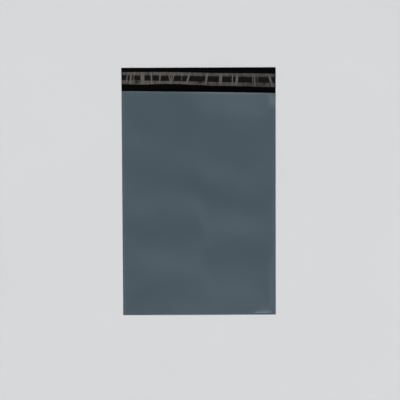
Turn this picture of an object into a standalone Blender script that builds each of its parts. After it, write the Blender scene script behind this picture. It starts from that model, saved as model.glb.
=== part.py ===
"""Poly mailer: a film shipping bag with a peel-and-seal flap, lying open on its back.

One web of film, grey outside and black inside, is folded at the bottom and welded up both
sides. The back panel runs on past the mouth as the flap, and the flap's black inner side
carries a line of glue under a peel-off liner.

Metres, +Z up. X runs across the bag, +Y towards the flap, and the back panel lies on Z = 0.
"""

import math

import bmesh
import bpy

# Bag film
BAG_WIDTH = 0.330
POCKET_DEPTH = 0.4831        # bottom fold to mouth, along the left edge
FLAP_LENGTH = 0.0495         # mouth to flap edge, along the left edge
MOUTH_DROP = 0.0056          # how much lower the mouth is cut at the right edge
FILM_THICKNESS = 0.00007
WELD_WIDTH = 0.004           # side weld, where the two panels are one piece

# Air left between the panels
PUFF_HEIGHT = 0.0085         # clear height in the middle of the pocket
PUFF_RISE = 0.260            # distance from the fold at which it is reached
FOLD_GAP = 0.0034            # clear height inside the bottom fold
FOLD_REACH = 0.0015          # length of film taken up by the fold's round
SEAM_GAP = 0.00005           # clear height where the panels part beside a weld
SEAM_EASE = 0.001            # distance from the weld at which they have parted

# Soft bands pressed into the front panel: length, slant, phase, height, step
BAND_WAVES = (
    (0.125, math.radians(3), 1.55, 0.00100, 0.045),
    (0.074, math.radians(24), 2.1, 0.00015, 0.0),
    (0.150, math.radians(-35), 4.0, 0.00020, 0.0),
)
BAND_STEP_X = 0.008          # where the bands step down towards the fold
BAND_STEP_WIDTH = 0.036
BAND_CALM_START = 0.236      # distance from the mouth at which the bands begin to die down
BAND_CALM_LENGTH = 0.120
BAND_CALM_SHARE = 0.4        # share of their height left nearer the mouth
BAND_SPREAD = 8              # power that keeps the bands up until close to the welds

# The mouth stands open at the right, and the panel is twisted above the fold
MOUTH_RISE = 0.0042
MOUTH_RISE_LENGTH = 0.056
MOUTH_RISE_POWER = 1.5
MOUTH_RISE_X = 0.0           # where the mouth passes from sunk to raised
MOUTH_RISE_WIDTH = 0.100
MOUTH_SINK_SHARE = 0.30      # share of the rise by which it sinks at the left
TWIST_HEIGHT = 0.0020
TWIST_LENGTH = 0.070         # distance from the fold at which the twist is greatest
TWIST_FADE = 0.140           # distance over which it then dies down

# Glue line on the flap
SEAL_SETBACK = 0.0206        # flap edge to the middle of the glue, at the left edge
SEAL_DROP = 0.0068           # how much lower the glue lies at the right edge
GLUE_WIDTH = 0.0123
GLUE_THICKNESS = 0.0001
GLUE_EDGE = 0.0004           # width of the glue's thin outer edge
GLUE_EDGE_THICKNESS = 0.00004
GLUE_END_INSET = 0.002       # from the bag's side edges

# Peel-off liner over the glue
LINER_WIDTH = 0.027
LINER_THICKNESS = 0.00004
LINER_OFFSET = 0.0009        # middle of the liner below the middle of the glue
LINER_END_INSET = 0.0015     # from the bag's side edges
LINER_STEP = 0.0015          # run over which it climbs onto the glue
BOND_GAP = 0.00005           # clearance between two layers that are stuck together

# Wrinkles where the liner has lifted off the glue: share of the bag's width, width, height, lean
WRINKLES = (
    (0.037, 0.0032, 0.0008, 0.0040),
    (0.061, 0.0046, 0.0011, 0.0020),
    (0.079, 0.0046, 0.0011, 0.0010),
    (0.137, 0.0100, 0.0014, 0.0),
    (0.195, 0.0034, 0.0009, 0.0),
    (0.250, 0.0036, 0.0010, 0.0020),
    (0.313, 0.0030, 0.0008, -0.0070),
    (0.3235, 0.0028, 0.0008, 0.0),
    (0.335, 0.0030, 0.0008, 0.0070),
    (0.390, 0.0030, 0.0003, 0.0),
    (0.432, 0.0050, 0.0016, 0.0080),
    (0.551, 0.0054, 0.0012, 0.0040),
    (0.643, 0.0074, 0.0012, 0.0020),
    (0.720, 0.0030, 0.0010, 0.0),
    (0.748, 0.0064, 0.0012, 0.0025),
    (0.8505, 0.0026, 0.0006, 0.0),
    (0.8635, 0.0032, 0.0009, 0.0),
    (0.8815, 0.0026, 0.0004, 0.0),
    (0.9665, 0.0056, 0.0012, -0.0085),
)
WRINKLE_EDGE_SHARE = 0.35    # share of a wrinkle's height left at the liner's edges

# Fineness of the meshes
PANEL_COLUMNS = 20
PANEL_ROWS = 32
FLAP_ROWS = 3
FOLD_STEPS = 4
LEAST_COLUMN = 0.0005        # liner columns closer than this are left out
MERGE_DISTANCE = 1e-7

HALF_WIDTH = BAG_WIDTH / 2
FOLD_Y = -(POCKET_DEPTH + FLAP_LENGTH) / 2
FLAP_Y = FOLD_Y + POCKET_DEPTH + FLAP_LENGTH
WELD_X = HALF_WIDTH - WELD_WIDTH
FLAP, BACK, FOLD, FRONT = "flap", "back", "fold", "front"


def clear_scene():
    """Remove every object, so that the part is alone in the scene."""
    for item in list(bpy.data.objects):
        bpy.data.objects.remove(item, do_unlink=True)


def mix(start, end, share):
    """The value a share of the way from start to end."""
    return start + (end - start) * share


def ease(share):
    """A share from 0 to 1 with its ends eased, kept within that range."""
    share = min(1.0, max(0.0, share))
    return share * share * (3 - 2 * share)


def width_share(x):
    """How far across the bag x lies, 0 at the left edge and 1 at the right."""
    return (x + HALF_WIDTH) / BAG_WIDTH


def mouth_y(x):
    """The mouth's cut edge, which is a little lower at the right."""
    return FOLD_Y + POCKET_DEPTH - MOUTH_DROP * width_share(x)


def seal_y(x):
    """The middle of the glue line."""
    return FLAP_Y - SEAL_SETBACK - SEAL_DROP * width_share(x)


def band_height(x, y):
    """Height of the soft bands in the front panel at one point."""
    total = 0.0
    for length, slant, phase, height, step in BAND_WAVES:
        run = x * math.sin(slant) + y * math.cos(slant)
        run += step * ease((x - BAND_STEP_X) / BAND_STEP_WIDTH + 0.5)
        total += height * math.sin(2 * math.pi * run / length + phase)
    calm = ease((BAND_CALM_START - mouth_y(x) + y) / BAND_CALM_LENGTH)
    return total * mix(1.0, BAND_CALM_SHARE, calm)


def mouth_height(x, y):
    """How far the front panel rises near the mouth at the right, or sinks at the left."""
    near = max(0.0, 1 - (mouth_y(x) - y) / MOUTH_RISE_LENGTH) ** MOUTH_RISE_POWER
    right = ease((x - MOUTH_RISE_X) / MOUTH_RISE_WIDTH + 0.5)
    return MOUTH_RISE * near * mix(-MOUTH_SINK_SHARE, 1.0, right)


def twist_height(x, y):
    """How far the front panel is twisted above the fold, up at the right, down at the left."""
    from_fold = y - FOLD_Y
    fade = ease((from_fold - TWIST_LENGTH) / TWIST_FADE)
    return TWIST_HEIGHT * x / HALF_WIDTH * ease(from_fold / TWIST_LENGTH) * (1 - fade)


def panel_gap(x, y):
    """Clear height between the back and front panels, none within the welds."""
    inside = WELD_X - abs(x)
    if inside <= 0:
        return 0.0
    seam = SEAM_GAP * min(1.0, inside / SEAM_EASE)
    across = 1 - (x / WELD_X) ** 2
    spread = 1 - (x / WELD_X) ** BAND_SPREAD
    along = math.sin(math.pi / 2 * min(1.0, (y - FOLD_Y) / PUFF_RISE))
    puff = across * mix(FOLD_GAP, PUFF_HEIGHT, along)
    loose = along * band_height(x, y) + mouth_height(x, y) + twist_height(x, y)
    return seam + max(0.0, puff + spread * loose)


def thick_sheet(columns, rows, place):
    """A closed sheet: a grid, extruded once, with both skins put where place says.

    place(column, row, skin) gives a point, with skin 0 on the first side and 1 on the second.
    Returns the bmesh and the vertices of the second skin.
    """
    bm = bmesh.new()
    bmesh.ops.create_grid(bm, x_segments=len(columns) - 1, y_segments=len(rows) - 1, size=1)
    first = list(bm.verts)
    extruded = bmesh.ops.extrude_face_region(bm, geom=list(bm.faces), use_keep_orig=True)
    second = [item for item in extruded["geom"] if isinstance(item, bmesh.types.BMVert)]
    second.sort(key=lambda vert: (round(vert.co.y, 6), round(vert.co.x, 6)))
    for skin, verts in enumerate((first, second)):
        for index, vert in enumerate(verts):
            row = rows[index // len(columns)]
            column = columns[index % len(columns)]
            vert.co = place(column, row, skin)
    return bm, second


def add_object(name, bm, materials):
    """Make a smooth-shaded object of the bmesh, with its faces pointing out."""
    bmesh.ops.recalc_face_normals(bm, faces=bm.faces)
    mesh = bpy.data.meshes.new(name)
    bm.to_mesh(mesh)
    bm.free()
    mesh.shade_smooth()
    mesh.set_sharp_from_angle(angle=math.radians(30))
    for material in materials:
        mesh.materials.append(material)
    obj = bpy.data.objects.new(name, mesh)
    bpy.context.scene.collection.objects.link(obj)
    return obj


def plastic(name, colour, roughness, alpha=1.0):
    """A plain Principled material for one film or glue."""
    material = bpy.data.materials.new(name)
    material.use_nodes = True
    shader = material.node_tree.nodes["Principled BSDF"]
    shader.inputs["Base Color"].default_value = (*colour, 1.0)
    shader.inputs["Metallic"].default_value = 0.0
    shader.inputs["Roughness"].default_value = roughness
    shader.inputs["Alpha"].default_value = alpha
    return material


def panel_columns():
    """Places across the bag: edge, weld, seam, then even steps, the same on both sides."""
    seam_x = WELD_X - SEAM_EASE
    middle = [mix(-seam_x, seam_x, i / PANEL_COLUMNS) for i in range(PANEL_COLUMNS + 1)]
    return [-HALF_WIDTH, -WELD_X, *middle, WELD_X, HALF_WIDTH]


def web_rows():
    """Rows of the web as the film runs: flap edge, back panel, fold, front panel to the mouth."""
    flap = [(FLAP, 1 - i / FLAP_ROWS) for i in range(FLAP_ROWS)]
    back = [(BACK, 1 - i / PANEL_ROWS) for i in range(PANEL_ROWS + 1)]
    fold = [(FOLD, i / FOLD_STEPS) for i in range(FOLD_STEPS + 1)]
    front = [(FRONT, i / PANEL_ROWS) for i in range(PANEL_ROWS + 1)]
    return flap + back + fold + front


def web_point(x, row, skin):
    """Where the web's outer skin (0) or inner skin (1) lies."""
    part, share = row
    inset = FILM_THICKNESS * skin
    if part == FLAP:
        return x, mix(mouth_y(x), FLAP_Y, share), inset
    if part == FOLD:
        centre = FILM_THICKNESS + panel_gap(x, FOLD_Y) / 2
        radius = centre - inset
        angle = math.pi * (share - 0.5)
        return x, FOLD_Y + centre - radius * math.cos(angle), centre + radius * math.sin(angle)
    y = mix(FOLD_Y + FOLD_REACH, mouth_y(x), share)
    if part == BACK:
        return x, y, inset
    return x, y, 2 * FILM_THICKNESS + panel_gap(x, y) - inset


def weld_sides(bm, inner_verts):
    """Fuse the two panels where their inner skins lie together, along both side welds."""
    meeting = [vert for vert in inner_verts if abs(vert.co.x) >= WELD_X - MERGE_DISTANCE]
    bmesh.ops.remove_doubles(bm, verts=meeting, dist=MERGE_DISTANCE)
    fused_faces = []
    for face in bm.faces:
        in_weld = all(abs(vert.co.x) >= WELD_X - MERGE_DISTANCE for vert in face.verts)
        between = all(abs(vert.co.z - FILM_THICKNESS) < MERGE_DISTANCE for vert in face.verts)
        below_mouth = all(vert.co.y <= mouth_y(vert.co.x) + MERGE_DISTANCE for vert in face.verts)
        if in_weld and between and below_mouth:
            fused_faces.append(face)
    bmesh.ops.delete(bm, geom=fused_faces, context="FACES")


def build_bag():
    """The bag: one folded and side-welded web of film, open at the mouth."""
    bm, inner_verts = thick_sheet(panel_columns(), web_rows(), web_point)
    inner = set(inner_verts)
    for face in bm.faces:
        face.material_index = int(all(vert in inner for vert in face.verts))
    weld_sides(bm, inner_verts)
    grey = plastic("grey_film", (0.072, 0.100, 0.120), 0.42)
    black = plastic("black_film", (0.006, 0.006, 0.007), 0.38)
    return add_object("mailer_bag", bm, (grey, black))


def build_adhesive_strip():
    """The glue line: a thin band of hot-melt glue with feathered long edges."""
    end = HALF_WIDTH - GLUE_END_INSET
    outer = GLUE_WIDTH / 2
    inner = outer - GLUE_EDGE
    base = FILM_THICKNESS + BOND_GAP

    def glue_point(x, offset, skin):
        thickness = GLUE_EDGE_THICKNESS if abs(offset) > inner else GLUE_THICKNESS
        return x, seal_y(x) + offset, base + thickness * skin

    bm, _ = thick_sheet((-end, end), (-outer, -inner, inner, outer), glue_point)
    return add_object("adhesive_strip", bm, (plastic("glue", (0.010, 0.010, 0.010), 0.15),))


def liner_columns():
    """Columns of the liner as (x, lean): its ends, and each wrinkle's feet and ridge."""
    end = HALF_WIDTH - LINER_END_INSET
    wanted = []
    for share, width, _, lean in WRINKLES:
        middle = mix(-HALF_WIDTH, HALF_WIDTH, share)
        wanted += [(middle + side * width / 2, lean) for side in (-1, 0, 1)]
    kept = [(-end, 0.0)]
    for x, lean in sorted(wanted) + [(end, 0.0)]:
        room = min(x - kept[-1][0] + side * (lean - kept[-1][1]) / 2 for side in (-1, 1))
        ahead = end - abs(lean) / 2 - x
        if room > LEAST_COLUMN and (ahead > LEAST_COLUMN or x == end):
            kept.append((x, lean))
    return kept


def wrinkle_height(x, offset):
    """How far the liner's wrinkles lift it, at x and at an offset from the glue's middle."""
    height = 0.0
    for share, width, full_height, lean in WRINKLES:
        ridge_x = mix(-HALF_WIDTH, HALF_WIDTH, share) + lean * offset / LINER_WIDTH
        height = max(height, full_height * (1 - abs(x - ridge_x) / (width / 2)))
    past_glue = max(0.0, abs(offset) - GLUE_WIDTH / 2)
    fade = min(1.0, past_glue / ((LINER_WIDTH - GLUE_WIDTH) / 2))
    return height * mix(1.0, WRINKLE_EDGE_SHARE, fade)


def liner_rows():
    """Rows of the liner as offsets from the glue's middle, towards the flap edge."""
    low = -LINER_OFFSET - LINER_WIDTH / 2
    high = -LINER_OFFSET + LINER_WIDTH / 2
    glue = GLUE_WIDTH / 2
    return (low, -glue - LINER_STEP, -glue, 0.0, glue, glue + LINER_STEP, high)


def liner_point(column, offset, skin):
    """Where the liner's lower skin (0) or upper skin (1) lies."""
    column_x, lean = column
    x = column_x + lean * offset / LINER_WIDTH
    on_flap = FILM_THICKNESS + BOND_GAP
    on_glue = on_flap + GLUE_THICKNESS + BOND_GAP
    over_glue = abs(offset) < GLUE_WIDTH / 2 + LINER_STEP / 2
    base = on_glue if over_glue else on_flap
    height = base + wrinkle_height(x, offset) + LINER_THICKNESS * skin
    return x, seal_y(column_x) + offset, height


def build_release_liner():
    """The peel-off liner, stuck over the glue and tented where it has lifted."""
    bm, _ = thick_sheet(liner_columns(), liner_rows(), liner_point)
    return add_object("release_liner", bm, (plastic("liner_film", (0.07, 0.06, 0.06), 0.35, 0.6),))


clear_scene()
build_bag()
build_adhesive_strip()
build_release_liner()
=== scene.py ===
"""Looks of the poly mailer: its film, weld lines, glue line and peel-off liner.

The bag lies open on its back panel with the flap towards +Y. Everything is in metres, in the
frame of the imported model, and the camera looks down on the bag as the photograph shows it.
"""

from __future__ import annotations

import logging
import math
from dataclasses import dataclass
from enum import Enum
from typing import Callable, Sequence

import bmesh
import bpy
from mathutils import Euler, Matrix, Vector, noise

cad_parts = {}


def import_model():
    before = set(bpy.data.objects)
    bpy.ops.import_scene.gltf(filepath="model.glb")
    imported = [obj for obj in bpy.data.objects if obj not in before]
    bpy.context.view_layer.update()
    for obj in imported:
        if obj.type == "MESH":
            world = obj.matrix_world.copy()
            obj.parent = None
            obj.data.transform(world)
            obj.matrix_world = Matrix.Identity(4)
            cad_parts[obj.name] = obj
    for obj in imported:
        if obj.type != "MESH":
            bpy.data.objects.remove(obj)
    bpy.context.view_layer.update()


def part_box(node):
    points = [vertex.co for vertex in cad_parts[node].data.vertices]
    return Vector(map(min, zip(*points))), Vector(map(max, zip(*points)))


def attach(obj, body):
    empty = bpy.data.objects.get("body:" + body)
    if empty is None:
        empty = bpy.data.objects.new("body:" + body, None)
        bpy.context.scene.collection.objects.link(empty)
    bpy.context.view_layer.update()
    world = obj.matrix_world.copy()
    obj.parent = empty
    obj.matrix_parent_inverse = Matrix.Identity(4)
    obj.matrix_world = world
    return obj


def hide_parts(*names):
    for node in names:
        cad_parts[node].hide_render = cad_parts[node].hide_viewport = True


log = logging.getLogger("poly_mailer")

BAG_NODE = "mailer_bag"
GLUE_NODE = "adhesive_strip"
LINER_NODE = "release_liner"
MERGE_DISTANCE = 1e-7
GRID_DECIMALS = 6
LIFT_ATTRIBUTE = "lift"
TONE_HIGHLIGHT_ATTRIBUTE = "tone_and_highlight"

Point = tuple[float, float, float]
Colour = tuple[float, float, float]


def mix(start: float, end: float, share: float) -> float:
    """Return the value a share of the way from start to end."""
    return start + (end - start) * share


def ease(share: float) -> float:
    """Return a share from 0 to 1 with its ends eased and kept within that range."""
    share = min(1.0, max(0.0, share))
    return share * share * (3 - 2 * share)


def wander(x: float, y: float, length: float, seed: float) -> float:
    """Return smooth noise between -1 and 1 that changes over about one length, in metres."""
    return noise.noise(Vector((x / length, y / length, seed)))


def follow(points: Sequence[tuple[float, float]], share: float) -> float:
    """Read an eased line through a few points.

    Args:
        points: The line's (share, height) points, in order.
        share: Where along the line to read it.

    Returns:
        The line's height there.
    """
    before = points[0]
    for after in points[1:]:
        if share <= after[0]:
            part = ease((share - before[0]) / (after[0] - before[0]))
            return mix(before[1], after[1], part)
        before = after
    return points[-1][1]


def steps(start: float, end: float, longest: float) -> list[float]:
    """Return even places from start to end, both included, no further apart than longest."""
    count = max(1, math.ceil(abs(end - start) / longest))
    return [mix(start, end, i / count) for i in range(count + 1)]


class WebPart(Enum):
    """The stretches of the film web, in the order that it runs."""

    FLAP = "flap"
    BACK = "back"
    FOLD = "fold"
    FRONT = "front"


class Skin(Enum):
    """The two faces of the film."""

    OUTER = 0
    INNER = 1


Row = tuple[WebPart, float]


def thick_sheet(
    columns: Sequence[float],
    rows: Sequence[object],
    place: Callable[[float, object, Skin], Point],
) -> tuple[bmesh.types.BMesh, list[bmesh.types.BMVert]]:
    """Make a closed sheet from a grid that is extruded once.

    Args:
        columns: What tells one column of the grid from the next, usually its X.
        rows: What tells one row of the grid from the next.
        place: Gives the point of a column and row on either skin.

    Returns:
        The bmesh, and the vertices of its inner skin in grid order.
    """
    bm = bmesh.new()
    bmesh.ops.create_grid(bm, x_segments=len(columns) - 1, y_segments=len(rows) - 1, size=1)
    outer = list(bm.verts)
    order = {v.co.to_tuple(GRID_DECIMALS): i for i, v in enumerate(outer)}
    extruded = bmesh.ops.extrude_face_region(bm, geom=list(bm.faces), use_keep_orig=True)
    inner = [item for item in extruded["geom"] if isinstance(item, bmesh.types.BMVert)]
    inner.sort(key=lambda v: order[v.co.to_tuple(GRID_DECIMALS)])
    for skin, verts in ((Skin.OUTER, outer), (Skin.INNER, inner)):
        for index, vert in enumerate(verts):
            vert.co = place(columns[index % len(columns)], rows[index // len(columns)], skin)
    return bm, inner


def finish_piece(
    name: str, bm: bmesh.types.BMesh, materials: Sequence[bpy.types.Material], sharp_angle: float
) -> bpy.types.Object:
    """Turn a bmesh into a smooth-shaded object of the scene.

    Args:
        name: The piece's name.
        bm: Its closed shape, which is freed.
        materials: Its materials, in slot order.
        sharp_angle: The angle in degrees past which an edge is drawn sharp.

    Returns:
        The object, linked to the scene at the origin.
    """
    bmesh.ops.recalc_face_normals(bm, faces=bm.faces)
    mesh = bpy.data.meshes.new(name)
    bm.to_mesh(mesh)
    bm.free()
    mesh.shade_smooth()
    mesh.set_sharp_from_angle(angle=math.radians(sharp_angle))
    for material in materials:
        mesh.materials.append(material)
    piece = bpy.data.objects.new(name, mesh)
    bpy.context.scene.collection.objects.link(piece)
    return piece


class NodeGraph:
    """A tree of shader nodes."""

    def __init__(self, tree: bpy.types.NodeTree) -> None:
        """Take the tree that nodes are added to."""
        self.tree = tree

    def feed(self, socket: bpy.types.NodeSocket, value: object) -> None:
        """Give a socket a constant or link it to a number or an output socket."""
        if isinstance(value, Number):
            self.tree.links.new(value.socket, socket)
        elif isinstance(value, bpy.types.NodeSocket):
            self.tree.links.new(value, socket)
        else:
            socket.default_value = value

    def node(
        self, kind: str, settings: dict[str, object], inputs: dict[str | int, object]
    ) -> bpy.types.Node:
        """Add one node.

        Args:
            kind: The node's Blender type.
            settings: Its own properties, or a ramp's stops, set before anything is linked.
            inputs: Values or links of its sockets, by name or number.

        Returns:
            The new node.
        """
        made = self.tree.nodes.new(kind)
        for key, value in settings.items():
            if key == "stops":
                for stop, (position, colour) in zip(made.color_ramp.elements, value):
                    stop.position = position
                    stop.color = (*colour, 1.0)
            else:
                setattr(made, key, value)
        for key, value in inputs.items():
            self.feed(made.inputs[key], value)
        return made


class Number:
    """A number in a material, so that node maths reads as an expression."""

    def __init__(self, graph: MaterialGraph, socket: bpy.types.NodeSocket) -> None:
        """Wrap one output socket of the graph."""
        self.graph = graph
        self.socket = socket

    def __add__(self, other: Number | float) -> Number:
        """Add a number or a constant."""
        return self.graph.maths("ADD", self, other)

    def __radd__(self, other: float) -> Number:
        """Add to a constant."""
        return self.graph.maths("ADD", other, self)

    def __sub__(self, other: Number | float) -> Number:
        """Take a number or a constant away."""
        return self.graph.maths("SUBTRACT", self, other)

    def __rsub__(self, other: float) -> Number:
        """Take this away from a constant."""
        return self.graph.maths("SUBTRACT", other, self)

    def __mul__(self, other: Number | float) -> Number:
        """Multiply by a number or a constant."""
        return self.graph.maths("MULTIPLY", self, other)

    def __rmul__(self, other: float) -> Number:
        """Multiply a constant."""
        return self.graph.maths("MULTIPLY", other, self)


class MaterialGraph(NodeGraph):
    """The node tree of one material, which ends in a Principled shader."""

    def __init__(self, name: str) -> None:
        """Make an empty material of that name."""
        self.material = bpy.data.materials.new(name)
        self.material.use_nodes = True
        super().__init__(self.material.node_tree)
        self.shader = self.tree.nodes["Principled BSDF"]

    def maths(self, operation: str, first: Number | float, second: Number | float) -> Number:
        """Add a Math node and return its result."""
        made = self.node("ShaderNodeMath", {"operation": operation}, {0: first, 1: second})
        return Number(self, made.outputs[0])

    def size(self, value: Number) -> Number:
        """Return a number without its sign."""
        return self.maths("ABSOLUTE", value, 0.0)

    def clamp(self, value: Number) -> Number:
        """Keep a number between 0 and 1."""
        made = self.node("ShaderNodeClamp", {}, {"Value": value})
        return Number(self, made.outputs[0])

    def near(self, value: Number, middle: float, reach: float) -> Number:
        """Return 1 where a number is at middle, falling to 0 at reach from it."""
        return self.clamp(1.0 - self.size(value - middle) * (1.0 / reach))

    def place(self) -> tuple[Number, Number, Number]:
        """Read where on the object a point lies.

        Returns:
            Its X, Y and Z.
        """
        where = self.node("ShaderNodeTexCoord", {}, {})
        split = self.node("ShaderNodeSeparateXYZ", {}, {0: where.outputs["Object"]})
        return tuple(Number(self, output) for output in split.outputs)

    def attribute(self, name: str) -> Number:
        """Read a number that is stored on the mesh."""
        made = self.node("ShaderNodeAttribute", {"attribute_name": name}, {})
        return Number(self, made.outputs["Fac"])

    def noise(self, per_metre: Point, detail: float) -> Number:
        """Add noise.

        Args:
            per_metre: How many cells it has in a metre along X, Y and Z.
            detail: How many finer layers it has.

        Returns:
            A number between -0.5 and 0.5.
        """
        where = self.node("ShaderNodeTexCoord", {}, {})
        scaled = self.node(
            "ShaderNodeMapping",
            {},
            {"Vector": where.outputs["Object"], "Scale": per_metre},
        )
        made = self.node(
            "ShaderNodeTexNoise",
            {},
            {"Vector": scaled.outputs[0], "Scale": 1.0, "Detail": detail, "Roughness": 0.55},
        )
        return Number(self, made.outputs[0]) - 0.5

    def blend(
        self, first: Colour | bpy.types.NodeSocket, second: Colour, share: Number
    ) -> bpy.types.NodeSocket:
        """Mix two colours.

        Args:
            first: The colour at a share of 0, or a socket that gives it.
            second: The colour at a share of 1.
            share: How much of the second colour to take.

        Returns:
            The socket with the mixed colour.
        """
        start = first if isinstance(first, bpy.types.NodeSocket) else (*first, 1.0)
        made = self.node(
            "ShaderNodeMix", {"data_type": "RGBA"}, {0: share, 6: start, 7: (*second, 1.0)}
        )
        return made.outputs[2]

    def bump(self, height: Number, distance: float) -> None:
        """Feed a height to the shader's normal, at so many metres for one."""
        made = self.node(
            "ShaderNodeBump", {}, {"Height": height, "Strength": 1.0, "Distance": distance}
        )
        self.feed(self.shader.inputs["Normal"], made.outputs[0])

    def constants(self, **values: float) -> None:
        """Set sockets of the shader that are the same all over the surface."""
        for key, value in values.items():
            self.shader.inputs[key.replace("_", " ")].default_value = value


@dataclass(frozen=True)
class FilmFinish:
    """One face of the blown film: a satin plastic with faint streaks, cloud and grain.

    The film has a painted highlight along the bottom fold, another along each weld's inner edge,
    and, where one is asked for, one below the mouth's right corner.
    """

    name: str
    dark: Colour
    light: Colour
    # pale is the colour of the painted highlights.
    pale: Colour
    roughness: float
    specular: float
    fold_y: float
    weld_x: float
    corner_y: float
    corner_highlight: float = 0.0
    corner_reach_x: float = 0.013
    corner_reach_y: float = 0.020
    fold_reach: float = 0.0012
    fold_highlight: float = 0.9
    fold_highlight_patch: float = 0.6
    weld_reach: float = 0.0013
    weld_highlight: float = 0.12
    weld_highlight_patch: float = 0.3
    grain_height: float = 0.00002
    cloud_per_metre: float = 16.0
    cloud_tone: float = 0.9
    cloud_roughness: float = 0.08
    streaks_per_metre: float = 420.0
    streak_runs_per_metre: float = 3.0
    streak_tone: float = 0.5
    streak_height: float = 0.4
    grain_per_metre: float = 900.0
    grain_tone: float = 0.4
    grain_roughness: float = 0.05
    shade_drift_per_metre: float = 1.3

    def material(self) -> bpy.types.Material:
        """Make the film's material.

        Returns:
            The material, with its painted highlights at the fold, the welds and the mouth's right
            corner.
        """
        graph = MaterialGraph(self.name)
        cloud = graph.noise((self.cloud_per_metre,) * 3, detail=3.0)
        along = self.streak_runs_per_metre
        streaks = graph.noise((along, self.streaks_per_metre, along), detail=2.0)
        grain = graph.noise((self.grain_per_metre,) * 3, detail=2.0)
        x, y, _ = graph.place()
        # Painted shade: the film is darker towards the fold and paler towards the mouth.
        tone = 0.5 + y * self.shade_drift_per_metre + cloud * self.cloud_tone
        tone = graph.clamp(tone + streaks * self.streak_tone + grain * self.grain_tone)
        film = graph.blend(self.dark, self.light, tone)
        # Painted highlight along the bottom fold, patchy with the cloud.
        fold_glint = graph.near(y, self.fold_y, self.fold_reach)
        fold_glint = fold_glint * (self.fold_highlight + cloud * self.fold_highlight_patch)
        # Painted highlight along the inner edge of each side weld.
        weld_glint = graph.near(graph.size(x), self.weld_x, self.weld_reach)
        weld_glint = weld_glint * (self.weld_highlight + cloud * self.weld_highlight_patch)
        # Painted highlight below the mouth's right corner, just inside the weld.
        corner = graph.near(x, self.weld_x, self.corner_reach_x)
        corner_glint = corner * graph.near(y, self.corner_y, self.corner_reach_y) * self.corner_highlight
        # All the painted highlights together blend the film towards pale.
        pale = graph.clamp(fold_glint + weld_glint + corner_glint)
        graph.feed(graph.shader.inputs["Base Color"], graph.blend(film, self.pale, pale))
        rough = self.roughness + cloud * self.cloud_roughness + grain * self.grain_roughness
        graph.feed(graph.shader.inputs["Roughness"], rough)
        graph.constants(Specular_IOR_Level=self.specular, IOR=1.5)
        graph.bump(grain + streaks * self.streak_height, self.grain_height)
        return graph.material


@dataclass(frozen=True)
class LinerFinish:
    """The release film: hazy where it has lifted, clear where it is wetted by the glue."""

    name: str
    dark: Colour
    light: Colour
    wet_alpha: float
    hazy_alpha: float
    roughness: float
    creases_per_metre: Point = (460.0, 45.0, 45.0)
    crease_tone: float = 2.8
    crease_alpha: float = 0.25
    crease_roughness: float = 0.15
    crease_height: float = 0.00006
    cloud_per_metre: float = 70.0
    cloud_tone: float = 0.9

    def material(self) -> bpy.types.Material:
        """Make the liner's material.

        Returns:
            The material, which reads how far the film has lifted and its stored tone, which holds
            a painted highlight along the low edge.
        """
        graph = MaterialGraph(self.name)
        lift = graph.attribute(LIFT_ATTRIBUTE)
        # The stored tone shift includes a painted highlight along the liner's low edge.
        tone_and_highlight = graph.attribute(TONE_HIGHLIGHT_ATTRIBUTE)
        creases = graph.noise(self.creases_per_metre, detail=3.0)
        cloud = graph.noise((self.cloud_per_metre,) * 3, detail=2.0)
        tone = 0.5 + tone_and_highlight + creases * self.crease_tone + cloud * self.cloud_tone
        tone = graph.clamp(tone)
        graph.feed(graph.shader.inputs["Base Color"], graph.blend(self.dark, self.light, tone))
        span = self.hazy_alpha - self.wet_alpha
        alpha = self.wet_alpha + lift * (span + creases * self.crease_alpha)
        graph.feed(graph.shader.inputs["Alpha"], graph.clamp(alpha))
        rough = self.roughness + creases * self.crease_roughness
        graph.feed(graph.shader.inputs["Roughness"], rough)
        graph.constants(Specular_IOR_Level=0.4, IOR=1.46)
        graph.bump(creases, self.crease_height)
        return graph.material


@dataclass(frozen=True)
class GlueFinish:
    """Hot-melt glue: dark, wet-looking and faintly rippled."""

    name: str
    colour: Colour
    roughness: float
    ripples_per_metre: Point = (60.0, 260.0, 60.0)
    ripple_roughness: float = 0.1
    ripple_height: float = 0.0001

    def material(self) -> bpy.types.Material:
        """Make the glue's material.

        Returns:
            The material.
        """
        graph = MaterialGraph(self.name)
        ripple = graph.noise(self.ripples_per_metre, detail=2.0)
        rough = self.roughness + ripple * self.ripple_roughness
        graph.feed(graph.shader.inputs["Roughness"], rough)
        graph.feed(graph.shader.inputs["Base Color"], (*self.colour, 1.0))
        graph.constants(Specular_IOR_Level=0.5, IOR=1.48)
        graph.bump(ripple, self.ripple_height)
        return graph.material


@dataclass(frozen=True)
class FloorFinish:
    """A plain pale floor with a trace of cloud in it."""

    name: str
    dark: Colour
    light: Colour
    cloud_per_metre: float = 3.0

    def material(self) -> bpy.types.Material:
        """Make the floor's material.

        Returns:
            The material.
        """
        graph = MaterialGraph(self.name)
        cloud = graph.noise((self.cloud_per_metre,) * 3, detail=3.0)
        shade = graph.clamp(0.5 + cloud)
        graph.feed(graph.shader.inputs["Base Color"], graph.blend(self.dark, self.light, shade))
        graph.constants(Roughness=0.75, Specular_IOR_Level=0.2)
        return graph.material


@dataclass(frozen=True)
class Wave:
    """A long soft wave pressed into the front panel, which may step down near the middle."""

    length: float
    slant: float
    phase: float
    height: float
    step: float = 0.0
    step_x: float = 0.0
    step_width: float = 0.05

    def at(self, x: float, y: float) -> float:
        """Work out its height at one point.

        Args:
            x: Place across the bag.
            y: Place along the bag.

        Returns:
            The height, up or down.
        """
        run = x * math.sin(self.slant) + y * math.cos(self.slant)
        run += self.step * ease((x - self.step_x) / self.step_width + 0.5)
        return self.height * math.sin(2 * math.pi * run / self.length + self.phase)


@dataclass(frozen=True)
class Ripple:
    """Soft unevenness without a direction: its height, its length and a seed."""

    height: float
    length: float
    seed: float

    def at(self, x: float, y: float) -> float:
        """Return its height at one point."""
        return self.height * wander(x, y, self.length, self.seed)


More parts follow.
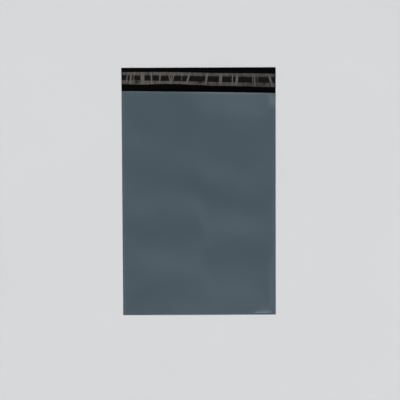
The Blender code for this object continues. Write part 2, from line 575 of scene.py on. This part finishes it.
@dataclass
class BagShape:
    """The sizes of the bag and the heights of its panels, which its pieces share."""

    low: Vector
    high: Vector
    flap_length: float = 0.0495
    mouth_drop: float = 0.0056
    film: float = 0.00007
    weld_width: float = 0.004
    bead_width: float = 0.0008
    bead_height: float = 0.0002
    puff_height: float = 0.0085
    mouth_rise: float = 0.0042
    mouth_rise_length: float = 0.056
    mouth_rise_power: float = 1.5
    mouth_rise_x: float = 0.0
    mouth_rise_width: float = 0.100
    mouth_sink_share: float = 0.30
    corner_roll: float = 0.0020
    corner_roll_length: float = 0.070
    corner_roll_fade: float = 0.140
    pleat_step: float = 0.0009
    pleat_front: float = 0.0016
    pleat_rise: float = 0.0010
    pleat_run: float = 0.0060
    pleat_length: float = 0.150
    pleat_start: float = 0.108
    pleat_offset: float = 0.0052
    pleat_slope: float = 0.03
    pleat_width: float = 0.030
    puff_rise: float = 0.260
    fold_gap: float = 0.0034
    fold_reach: float = 0.0015
    seam_gap: float = 0.00005
    seam_ease: float = 0.001
    seam_reach: float = 0.012
    lip_reach: float = 0.005
    lip_height: float = 0.0005
    pucker_start: float = 0.003
    pucker_reach: float = 0.006
    pucker_slant: float = 0.35
    puckers: tuple[Ripple, ...] = (Ripple(0.00018, 0.011, 20.0), Ripple(0.00009, 0.0055, 24.0))
    flap_wave: Ripple = Ripple(0.0004, 0.055, 3.7)
    flap_wave_stretch: float = 2.0
    seal_setback: float = 0.0206
    seal_drop: float = 0.0068
    wave_spread: int = 8
    main_wave: Wave = Wave(0.125, math.radians(3), 1.55, 0.0010, 0.045, 0.008, 0.036)
    side_waves: tuple[Wave | Ripple, ...] = (
        Wave(0.074, math.radians(24), 2.1, 0.00015),
        Wave(0.150, math.radians(-35), 4.0, 0.00020),
        Ripple(0.00014, 0.045, 8.1),
        Ripple(0.00005, 0.017, 5.3),
    )
    calm_start: float = -0.020
    calm_length: float = 0.120
    calm_share: float = 0.4
    corner_drop: float = 0.016

    @property
    def half_width(self) -> float:
        """Return half the bag's width."""
        return (self.high.x - self.low.x) / 2

    @property
    def corner_y(self) -> float:
        """Return the Y of the painted highlight below the mouth's right corner."""
        return self.mouth_y(self.half_width) - self.corner_drop

    @property
    def weld_x(self) -> float:
        """Return the distance of a weld's inner edge from the middle."""
        return self.half_width - self.weld_width

    def width_share(self, x: float) -> float:
        """Return how far across the bag x lies, 0 at the left and 1 at the right."""
        return (x - self.low.x) / (self.high.x - self.low.x)

    def mouth_y(self, x: float) -> float:
        """Return the Y of the mouth's cut edge, which is lower at the right."""
        return self.high.y - self.flap_length - self.mouth_drop * self.width_share(x)

    def seal_y(self, x: float) -> float:
        """Return the Y of the middle of the glue line."""
        return self.high.y - self.seal_setback - self.seal_drop * self.width_share(x)

    def flap_lift(self, x: float, y: float) -> float:
        """Work out how far the flap's loose film stands off the floor.

        Args:
            x: Place across the bag.
            y: Place along the bag.

        Returns:
            The height, none at the mouth.
        """
        free = ease((y - self.mouth_y(x)) / self.flap_length)
        wave = self.flap_wave.at(x, y / self.flap_wave_stretch)
        return free * (self.flap_wave.height + wave) / 2

    def panel_waves(self, x: float, y: float) -> float:
        """Work out the long waves in the front panel, which are calmer towards the mouth.

        Args:
            x: Place across the bag.
            y: Place along the bag.

        Returns:
            Their height, up or down.
        """
        strength = mix(1.0, self.calm_share, ease((y - self.calm_start) / self.calm_length))
        total = self.main_wave.at(x, y) * strength
        return total + sum(wave.at(x, y) for wave in self.side_waves)

    def pucker(self, x: float, y: float) -> float:
        """Work out the small gathers in the front panel beside a side weld.

        Args:
            x: Place across the bag.
            y: Place along the bag.

        Returns:
            The extra height, up or down.
        """
        inside = self.weld_x - abs(x)
        fade = math.exp(-inside / self.pucker_reach) * ease(inside / self.pucker_start)
        side = math.copysign(self.half_width, x)
        along = y - inside * self.pucker_slant
        return fade * sum(ripple.at(side, along) for ripple in self.puckers)

    def lip(self, x: float, y: float) -> float:
        """Return how far the front panel's cut edge curls up at the mouth."""
        near = 1 - (self.mouth_y(x) - y) / self.lip_reach
        return self.lip_height * max(0.0, near) ** 2

    def gape(self, x: float, y: float) -> float:
        """Work out how far the mouth stands open towards the right, or sinks at the left.

        Args:
            x: Place across the bag.
            y: Place along the bag.

        Returns:
            The extra height, less than 0 where it sinks.
        """
        near = max(0.0, 1 - (self.mouth_y(x) - y) / self.mouth_rise_length)
        right = ease((x - self.mouth_rise_x) / self.mouth_rise_width + 0.5)
        share = mix(-self.mouth_sink_share, 1.0, right)
        return self.mouth_rise * near**self.mouth_rise_power * share

    def roll(self, x: float, y: float) -> float:
        """Work out the front panel's slight twist above the fold, higher at the right.

        Args:
            x: Place across the bag.
            y: Place along the bag.

        Returns:
            The extra height, less than 0 at the left.
        """
        run = y - self.low.y
        fade = 1 - ease((run - self.corner_roll_length) / self.corner_roll_fade)
        return self.corner_roll * x / self.half_width * ease(run / self.corner_roll_length) * fade

    def pleat(self, x: float, y: float) -> float:
        """Work out the small pleat that runs out to the bottom right corner.

        Args:
            x: Place across the bag.
            y: Place along the bag.

        Returns:
            The extra height.
        """
        out = x - self.pleat_start
        past = y - self.low.y - self.pleat_offset - self.pleat_slope * out
        step = self.pleat_step * ease(past / self.pleat_front + 1)
        rise = self.pleat_rise * (1 - math.exp(-max(0.0, past) / self.pleat_run))
        fade = ease(out / self.pleat_width) * (1 - ease(past / self.pleat_length))
        return (step + rise) * fade

    def panel_gap(self, x: float, y: float) -> float:
        """Work out the clear height between the two panels.

        Args:
            x: Place across the bag.
            y: Place along the bag.

        Returns:
            The height, none within the welds.
        """
        inside = self.weld_x - abs(x)
        if inside <= 0:
            return 0.0
        seam = self.seam_gap * min(1.0, inside / self.seam_ease)
        across = 1 - (x / self.weld_x) ** 2
        along = math.sin(math.pi / 2 * min(1.0, (y - self.low.y) / self.puff_rise))
        spread = 1 - (x / self.weld_x) ** self.wave_spread
        loose = across * mix(self.fold_gap, self.puff_height, along)
        loose += along * (spread * self.panel_waves(x, y) + self.pucker(x, y))
        loose += spread * self.roll(x, y)
        raised = self.lip(x, y) + self.gape(x, y) * spread + self.pleat(x, y)
        return seam + max(0.0, loose) + raised * ease(inside / self.seam_reach)

    def bead(self, x: float) -> float:
        """Work out the rolled bead that the hot knife leaves at each side.

        Args:
            x: Place across the bag.

        Returns:
            Its height.
        """
        inside = (self.half_width - abs(x)) / self.bead_width
        if inside >= 2:
            return 0.0
        return self.bead_height * math.sqrt(max(0.0, 1 - (inside - 1) ** 2))


@dataclass
class FilmBag:
    """The bag: one web of film, folded at the bottom and welded up both sides."""

    shape: BagShape
    outside: FilmFinish
    inside: FilmFinish
    cell: float = 0.0031
    fine_cell: float = 0.0005
    fine_reach: float = 0.010
    pucker_cell: float = 0.0015
    weld_cell: float = 0.0012
    bead_cell: float = 0.0002
    block: float = 0.035
    fold_steps: int = 10
    sharp_angle: float = 40.0

    def columns(self) -> list[float]:
        """Space the columns of the bag's grid.

        Returns:
            Places across the bag, closer together in the welds.
        """
        shape = self.shape
        bead = shape.half_width - 2 * shape.bead_width
        seam = shape.weld_x - shape.seam_ease
        gathered = seam - shape.pucker_reach
        right = steps(0.0, gathered, self.cell)
        right += steps(gathered, seam, self.pucker_cell)[1:]
        right += steps(seam, shape.weld_x, self.fine_cell)[1:]
        right += steps(shape.weld_x, bead, self.weld_cell)[1:]
        right += steps(bead, shape.half_width, self.bead_cell)[1:]
        return [-x for x in reversed(right[1:])] + right

    def panel_shares(self) -> list[float]:
        """Space the rows of a panel.

        Returns:
            Shares from the fold to the mouth, closer together at both ends.
        """
        length = self.shape.high.y - self.shape.low.y - self.shape.flap_length
        near = self.fine_reach / length
        fine = self.fine_cell / length
        middle = steps(near, 1 - near, self.cell / length)
        return steps(0.0, near, fine)[:-1] + middle + steps(1 - near, 1.0, 2 * fine)[1:]

    def rows(self) -> list[Row]:
        """List the rows of the web, as the film runs.

        Returns:
            The rows from the flap edge round the fold to the mouth.
        """
        shares = self.panel_shares()
        flap = steps(1.0, 0.0, self.cell / self.shape.flap_length)[:-1]
        fold = [i / self.fold_steps for i in range(self.fold_steps + 1)]
        rows = [(WebPart.FLAP, share) for share in flap]
        rows += [(WebPart.BACK, share) for share in reversed(shares)]
        rows += [(WebPart.FOLD, share) for share in fold]
        return rows + [(WebPart.FRONT, share) for share in shares]

    def place(self, x: float, row: Row, skin: Skin) -> Point:
        """Work out where one point of the web lies.

        Args:
            x: Place across the bag.
            row: The stretch of the web, and the share of it.
            skin: Which face of the film.

        Returns:
            The point.
        """
        shape = self.shape
        part, share = row
        inset = shape.film * skin.value
        if part is WebPart.FLAP:
            y = mix(shape.mouth_y(x), shape.high.y, share)
            return x, y, shape.flap_lift(x, y) + inset
        if part is WebPart.FOLD:
            centre = shape.film + shape.panel_gap(x, shape.low.y) / 2
            radius = centre - inset
            angle = math.pi * (share - 0.5)
            y = shape.low.y + centre - radius * math.cos(angle)
            return x, y, centre + radius * math.sin(angle)
        y = mix(shape.low.y + shape.fold_reach, shape.mouth_y(x), share)
        if part is WebPart.BACK:
            return x, y, inset
        rise = shape.bead(x) if skin is Skin.OUTER else 0.0
        return x, y, 2 * shape.film + shape.panel_gap(x, y) - inset + rise

    def weld(self, bm: bmesh.types.BMesh, inner: list[bmesh.types.BMVert]) -> None:
        """Fuse the two panels along both side welds.

        Args:
            bm: The web.
            inner: The vertices of its inner skin.
        """
        shape = self.shape
        edge = shape.weld_x - MERGE_DISTANCE
        meeting = [vert for vert in inner if abs(vert.co.x) >= edge]
        bmesh.ops.remove_doubles(bm, verts=meeting, dist=MERGE_DISTANCE)
        fused = []
        for face in bm.faces:
            in_weld = all(abs(v.co.x) >= edge for v in face.verts)
            between = all(abs(v.co.z - shape.film) < MERGE_DISTANCE for v in face.verts)
            below = all(v.co.y <= shape.mouth_y(v.co.x) + MERGE_DISTANCE for v in face.verts)
            if in_weld and between and below:
                fused.append(face)
        bmesh.ops.delete(bm, geom=fused, context="FACES")

    def merge_flat_back(self, bm: bmesh.types.BMesh) -> None:
        """Join the cells of the back panel's flat skins into larger ones.

        Args:
            bm: The welded web.
        """
        for height in (0.0, self.shape.film):
            blocks: dict[tuple[int, int], list[bmesh.types.BMFace]] = {}
            for face in bm.faces:
                if all(abs(v.co.z - height) < MERGE_DISTANCE for v in face.verts):
                    middle = face.calc_center_median() / self.block
                    blocks.setdefault((round(middle.x), round(middle.y)), []).append(face)
            for faces in blocks.values():
                bmesh.ops.dissolve_faces(bm, faces=faces, use_verts=True)

    def build(self) -> bpy.types.Object:
        """Model and dress the bag.

        Returns:
            The finished piece.
        """
        bm, inner = thick_sheet(self.columns(), self.rows(), self.place)
        inner_set = set(inner)
        for face in bm.faces:
            face.material_index = int(all(vert in inner_set for vert in face.verts))
        self.weld(bm, inner)
        self.merge_flat_back(bm)
        materials = (self.outside.material(), self.inside.material())
        piece = finish_piece("film_bag", bm, materials, self.sharp_angle)
        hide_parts(BAG_NODE)
        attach(piece, "root")
        return piece


@dataclass
class GlueLine:
    """The line of hot-melt glue on the flap."""

    shape: BagShape
    finish: GlueFinish
    left_width: float = 0.0112
    right_width: float = 0.0134
    thickness: float = 0.0001
    thin_share: float = 0.25
    crown_power: int = 4
    clearance: float = 0.00005
    end_inset: float = 0.002
    wobble: Ripple = Ripple(0.0003, 0.012, 30.0)
    cell: float = 0.002
    sharp_angle: float = 50.0
    across: tuple[float, ...] = (-1, -0.96, -0.88, -0.7, -0.35, 0, 0.35, 0.7, 0.88, 0.96, 1)

    def half_width(self, x: float) -> float:
        """Return half the glue's width, which grows a little towards the right."""
        return mix(self.left_width, self.right_width, self.shape.width_share(x)) / 2

    def place(self, x: float, across: float, skin: Skin) -> Point:
        """Work out where one point of the glue lies.

        Args:
            x: Place across the bag.
            across: Place over the glue's width, from -1 to 1.
            skin: The under or upper face.

        Returns:
            The point.
        """
        shape = self.shape
        edge = self.half_width(x) + self.wobble.at(x, math.copysign(self.wobble.length, across))
        y = shape.seal_y(x) + across * edge
        base = shape.flap_lift(x, y) + shape.film + self.clearance
        crown = mix(self.thin_share, 1.0, math.sqrt(1 - across**self.crown_power))
        return x, y, base + crown * self.thickness * skin.value

    def build(self) -> bpy.types.Object:
        """Model and dress the glue line.

        Returns:
            The finished piece.
        """
        end = self.shape.half_width - self.end_inset
        bm, _ = thick_sheet(steps(-end, end, self.cell), self.across, self.place)
        piece = finish_piece("glue_line", bm, (self.finish.material(),), self.sharp_angle)
        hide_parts(GLUE_NODE)
        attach(piece, "root")
        return piece


@dataclass(frozen=True)
class Wrinkle:
    """A tent in the liner across the glue: its share of the bag's width, size, lean and haze."""

    share: float
    width: float
    height: float
    lean: float = 0.0
    haze: float = 1.0


@dataclass(frozen=True)
class Blot:
    """A clear spot where glue has spread under the liner: its share of the width and sizes."""

    share: float
    offset: float
    width: float
    length: float
    strength: float = 1.0


@dataclass
class ReleaseLiner:
    """The peel-off film over the glue, with tents where it has lifted."""

    shape: BagShape
    glue: GlueLine
    finish: LinerFinish
    thickness: float = 0.00004
    end_inset: float = 0.0015
    climb: float = 0.0015
    cell_x: float = 0.0008
    cells_y: int = 30
    sharp_angle: float = 50.0
    flat_width: float = 0.028
    margin: float = 0.009
    edge_share: float = 0.35
    edge_curl: float = 0.00025
    ruffle_height: float = 0.00016
    ruffle_stretch: float = 6.0
    tent_haze_gain: float = 2.2
    blot_gain: float = 2.0
    rim_width: float = 0.0022
    rim_highlight: float = 0.20
    ridge_pale: float = 0.35
    wet_edge: Ripple = Ripple(0.0005, 0.009, 12.0)
    low_trim: Ripple = Ripple(0.0002, 0.006, 41.0)
    high_trim: Ripple = Ripple(0.0002, 0.007, 42.0)
    ruffles: Ripple = Ripple(1.0, 0.006, 50.0)
    curls: Ripple = Ripple(1.0, 0.020, 55.0)
    ragged: Ripple = Ripple(0.8, 0.0022, 60.0)
    # Tone of the liner's high and low bands along the bag's width, paler above 0 and darker
    # below.
    high_band_tone: tuple[tuple[float, float], ...] = (
        (0.0, 0.12),
        (0.45, 0.05),
        (0.80, -0.15),
        (1.0, -0.40),
    )
    low_band_tone: tuple[tuple[float, float], ...] = (
        (0.0, 0.0),
        (0.16, 0.05),
        (0.22, 0.40),
        (0.40, 0.42),
        (0.46, 0.05),
        (0.62, 0.0),
        (0.67, 0.25),
        (0.74, 0.25),
        (0.78, -0.10),
        (0.86, -0.35),
        (1.0, -0.35),
    )
    blots: tuple[Blot, ...] = (
        Blot(0.098, -0.0090, 0.0080, 0.0060),
        Blot(0.122, -0.0082, 0.0060, 0.0050, 0.8),
        Blot(0.512, -0.0072, 0.0150, 0.0060, 0.8),
        Blot(0.700, -0.0095, 0.0040, 0.0060, 0.4),
        Blot(0.850, -0.0085, 0.0060, 0.0060, 0.6),
        Blot(0.928, -0.0085, 0.0050, 0.0090, 0.6),
    )
    high_edge: tuple[tuple[float, float], ...] = (
        (0.0, 0.0091),
        (0.28, 0.0093),
        (0.48, 0.0107),
        (0.60, 0.0119),
        (0.80, 0.0126),
        (1.0, 0.0136),
    )
    low_edge: tuple[tuple[float, float], ...] = (
        (0.0, 0.0345),
        (0.13, 0.0358),
        (0.28, 0.0345),
        (0.37, 0.0347),
        (0.48, 0.0368),
        (0.60, 0.0390),
        (0.68, 0.0392),
        (0.80, 0.0402),
        (0.91, 0.0417),
        (1.0, 0.0421),
    )
    wrinkles: tuple[Wrinkle, ...] = (
        Wrinkle(0.037, 0.0032, 0.0008, 0.0040, 0.8),
        Wrinkle(0.061, 0.0046, 0.0011, 0.0020),
        Wrinkle(0.079, 0.0046, 0.0011, 0.0010, 0.3),
        Wrinkle(0.137, 0.0100, 0.0014),
        Wrinkle(0.195, 0.0034, 0.0009),
        Wrinkle(0.250, 0.0036, 0.0010, 0.0020),
        Wrinkle(0.313, 0.0030, 0.0008, -0.0070),
        Wrinkle(0.3235, 0.0028, 0.0008),
        Wrinkle(0.335, 0.0030, 0.0008, 0.0070),
        Wrinkle(0.390, 0.0030, 0.0003, 0.0, 0.35),
        Wrinkle(0.432, 0.0050, 0.0016, 0.0080),
        Wrinkle(0.551, 0.0054, 0.0012, 0.0040),
        Wrinkle(0.643, 0.0074, 0.0012, 0.0020),
        Wrinkle(0.720, 0.0030, 0.0010),
        Wrinkle(0.748, 0.0064, 0.0012, 0.0025),
        Wrinkle(0.8505, 0.0026, 0.0006, 0.0, 0.5),
        Wrinkle(0.8635, 0.0032, 0.0009),
        Wrinkle(0.8815, 0.0026, 0.0004, 0.0, 0.35),
        Wrinkle(0.9665, 0.0056, 0.0012, -0.0085),
    )

    def tent(self, x: float, offset: float) -> tuple[float, float]:
        """Work out the tents at one point.

        Args:
            x: Place across the bag.
            offset: Distance from the middle of the glue, towards the flap edge.

        Returns:
            Their height, and how surely the liner has lifted, from 0 to 1.
        """
        height = 0.0
        lift = 0.0
        for wrinkle in self.wrinkles:
            ridge = mix(self.shape.low.x, self.shape.high.x, wrinkle.share)
            ridge += wrinkle.lean * offset / self.flat_width
            away = abs(x - ridge) / (wrinkle.width / 2)
            if away < 1:
                height = max(height, wrinkle.height * math.cos(math.pi / 2 * away) ** 2)
                lift = max(lift, wrinkle.haze * ease((1 - away) * self.tent_haze_gain))
        return height, lift

    def glue_share(self, x: float, offset: float) -> float:
        """Return 1 where the liner lies on the glue and 0 clear of it."""
        past = abs(offset) - self.glue.half_width(x) + self.wet_edge.at(x, offset)
        return 1 - ease(past / self.climb + 0.5)

    def place(self, x: float, share: float, skin: Skin) -> Point:
        """Work out where one point of the liner lies.

        Args:
            x: Place across the bag.
            share: Place over the liner's width, 0 at its low edge and 1 at its high one.
            skin: The under or upper face.

        Returns:
            The point.
        """
        shape = self.shape
        along = shape.width_share(x)
        low = shape.high.y - follow(self.low_edge, along) + self.low_trim.at(x, 0.0)
        high = shape.high.y - follow(self.high_edge, along) + self.high_trim.at(x, 0.0)
        y = mix(low, high, share)
        offset = y - shape.seal_y(x)
        past_glue = max(0.0, abs(offset) - self.glue.half_width(x))
        past = past_glue / self.margin
        height = shape.flap_lift(x, y) + shape.film + self.glue.clearance
        over_glue = 1 - ease(past_glue / self.climb)
        height += over_glue * (self.glue.thickness + self.glue.clearance)
        tent, _ = self.tent(x, offset)
        height += tent * mix(1.0, self.edge_share, min(1.0, past))
        dry = (1 - self.glue_share(x, offset)) * min(1.0, past)
        height += dry * self.ruffle_height * (1 + self.ruffles.at(x, y / self.ruffle_stretch))
        height += self.edge_curl * past**2 * (1 + self.curls.at(x, 0.0))
        return x, y, height + self.thickness * skin.value

    def lift_at(self, point: Vector) -> float:
        """Work out how hazy the liner is at one point.

        Args:
            point: The point, on the liner.

        Returns:
            The haze, 0 where the glue wets it.
        """
        offset = point.y - self.shape.seal_y(point.x)
        _, tent = self.tent(point.x, offset)
        wet = self.glue_share(point.x, offset) * (1 - tent)
        for blot in self.blots:
            across = point.x - mix(self.shape.low.x, self.shape.high.x, blot.share)
            away = math.hypot(2 * across / blot.width, 2 * (offset - blot.offset) / blot.length)
            away += self.ragged.at(point.x, point.y)
            wet = max(wet, blot.strength * (1 - tent) * ease(self.blot_gain * (1 - away)))
        return 1 - wet

    def tone_and_highlight_at(self, point: Vector) -> float:
        """Work out how much paler the liner is at one point.

        Args:
            point: The point, on the liner.

        Returns:
            The change of tone, above 0 where it is paler: on the tents, in parts of the two
            bands, and in a painted highlight along the low edge.
        """
        offset = point.y - self.shape.seal_y(point.x)
        along = self.shape.width_share(point.x)
        _, tent = self.tent(point.x, offset)
        tone_and_highlight = self.ridge_pale * tent
        if offset > self.glue.half_width(point.x):
            return tone_and_highlight + follow(self.high_band_tone, along)
        if offset < -self.glue.half_width(point.x):
            edge = point.y - self.shape.high.y + follow(self.low_edge, along)
            # A painted highlight along the liner's low edge.
            rim = self.rim_highlight * ease(1 - edge / self.rim_width)
            return tone_and_highlight + follow(self.low_band_tone, along) + rim
        return tone_and_highlight

    def build(self) -> bpy.types.Object:
        """Model and dress the liner.

        Returns:
            The finished piece.
        """
        end = self.shape.half_width - self.end_inset
        shares = [i / self.cells_y for i in range(self.cells_y + 1)]
        bm, _ = thick_sheet(steps(-end, end, self.cell_x), shares, self.place)
        piece = finish_piece("liner", bm, (self.finish.material(),), self.sharp_angle)
        for name, value_at in ((LIFT_ATTRIBUTE, self.lift_at), (TONE_HIGHLIGHT_ATTRIBUTE, self.tone_and_highlight_at)):
            stored = piece.data.attributes.new(name, "FLOAT", "POINT")
            for vertex, item in zip(piece.data.vertices, stored.data):
                item.value = value_at(vertex.co)
        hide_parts(LINER_NODE)
        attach(piece, "root")
        flat = (2 * end, self.flat_width)
        return piece


@dataclass(frozen=True)
class SoftLight:
    """A wide soft studio light, so far off that it lights the whole bag evenly.

    The azimuth runs anticlockwise from +X, and both angles and the width are in degrees.
    """

    name: str
    azimuth: float
    elevation: float
    width: float
    strength: float

    def build(self) -> bpy.types.Object:
        """Make the light.

        Returns:
            The light, linked to the scene.
        """
        data = bpy.data.lights.new(self.name, "SUN")
        data.angle = math.radians(self.width)
        data.energy = self.strength
        light = bpy.data.objects.new(self.name, data)
        tilt = math.radians(90 - self.elevation)
        light.rotation_euler = (tilt, 0.0, math.radians(self.azimuth + 90))
        bpy.context.scene.collection.objects.link(light)
        return light


@dataclass
class Studio:
    """The floor, the lights, the surroundings and the camera."""

    floor_finish: FloorFinish
    floor_radius: float = 14.0
    floor_depth: float = 0.02
    floor_sides: int = 96
    floor_sharp_angle: float = 40.0
    camera_place: Point = (0.0027, 0.1202, 2.506)
    camera_turn: Point = (math.radians(-3.14), 0.0, math.radians(-0.236))
    lens: float = 105.0
    lights: tuple[SoftLight, ...] = (
        SoftLight("key", -88.0, 33.0, 60.0, 2.95),
        SoftLight("left", 176.0, 35.0, 50.0, 0.82),
        SoftLight("right", 4.0, 35.0, 50.0, 0.82),
    )
    surround_stops: tuple[tuple[float, Colour], ...] = (
        (0.05, (0.55, 0.56, 0.58)),
        (0.6, (0.02, 0.02, 0.021)),
    )

    def floor(self) -> bpy.types.Object:
        """Make the floor, a wide thin disc whose top is at Z = 0.

        Returns:
            The floor.
        """
        bm = bmesh.new()
        bmesh.ops.create_circle(
            bm, cap_ends=True, segments=self.floor_sides, radius=self.floor_radius
        )
        body = bmesh.ops.extrude_face_region(bm, geom=list(bm.faces), use_keep_orig=True)
        for item in body["geom"]:
            if isinstance(item, bmesh.types.BMVert):
                item.co.z = -self.floor_depth
        materials = (self.floor_finish.material(),)
        floor = finish_piece("floor", bm, materials, self.floor_sharp_angle)
        return floor

    def surroundings(self) -> None:
        """Light the scene from all round, palely at the horizon and hardly at all overhead."""
        world = bpy.data.worlds.new("studio")
        world.use_nodes = True
        graph = NodeGraph(world.node_tree)
        where = graph.node("ShaderNodeTexCoord", {}, {})
        split = graph.node("ShaderNodeSeparateXYZ", {}, {0: where.outputs["Generated"]})
        ramp = graph.node(
            "ShaderNodeValToRGB", {"stops": self.surround_stops}, {0: split.outputs["Z"]}
        )
        background = graph.tree.nodes["Background"]
        graph.feed(background.inputs["Color"], ramp.outputs[0])
        bpy.context.scene.world = world

    def camera(self) -> bpy.types.Object:
        """Make the camera, which looks down on the bag.

        Returns:
            The camera.
        """
        data = bpy.data.cameras.new("camera")
        data.lens = self.lens
        data.dof.use_dof = False
        camera = bpy.data.objects.new("camera", data)
        camera.location = self.camera_place
        camera.rotation_euler = Euler(self.camera_turn)
        bpy.context.scene.collection.objects.link(camera)
        bpy.context.scene.camera = camera
        return camera

    def build(self) -> None:
        """Make the whole studio."""
        self.camera()
        self.floor()
        for light in self.lights:
            light.build()
        self.surroundings()
        bpy.context.scene.view_settings.view_transform = "Standard"


def report(piece: bpy.types.Object) -> None:
    """Log a piece's name and its number of faces."""
    log.info("%s: %d faces", piece.name, len(piece.data.polygons))


def write_sizes() -> None:
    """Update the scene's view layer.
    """
    bpy.context.view_layer.update()


def main() -> None:
    """Load the frame, then build and dress each piece and the studio round it."""
    logging.basicConfig(level=logging.INFO, format="%(name)s %(message)s")
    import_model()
    shape = BagShape(*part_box(BAG_NODE))
    # Each film's pale colour is that of its painted highlights at the fold and welds, and the
    # grey's also below the mouth's right corner.
    grey = FilmFinish(
        "grey_film",
        dark=(0.061, 0.090, 0.111),
        light=(0.069, 0.100, 0.122),
        pale=(0.25, 0.28, 0.30),
        roughness=0.42,
        specular=0.5,
        fold_y=shape.low.y,
        weld_x=shape.weld_x,
        corner_y=shape.corner_y,
        corner_highlight=0.27,
    )
    black = FilmFinish(
        "black_film",
        dark=(0.0012, 0.0010, 0.0010),
        light=(0.0024, 0.0021, 0.0021),
        pale=(0.006, 0.006, 0.006),
        roughness=0.23,
        specular=0.2,
        fold_y=shape.low.y,
        weld_x=shape.weld_x,
        corner_y=shape.corner_y,
    )
    report(FilmBag(shape, grey, black).build())
    wet = GlueFinish("hot_melt_glue", colour=(0.003, 0.003, 0.003), roughness=0.14)
    glue = GlueLine(shape, wet)
    report(glue.build())
    hazy = LinerFinish(
        "liner_film",
        dark=(0.048, 0.0435, 0.041),
        light=(0.123, 0.112, 0.105),
        wet_alpha=0.04,
        hazy_alpha=0.9,
        roughness=0.3,
    )
    report(ReleaseLiner(shape, glue, hazy).build())
    pale = FloorFinish("floor_paint", dark=(0.72, 0.73, 0.74), light=(0.78, 0.79, 0.80))
    Studio(pale).build()
    write_sizes()


if __name__ == "__main__":
    main()
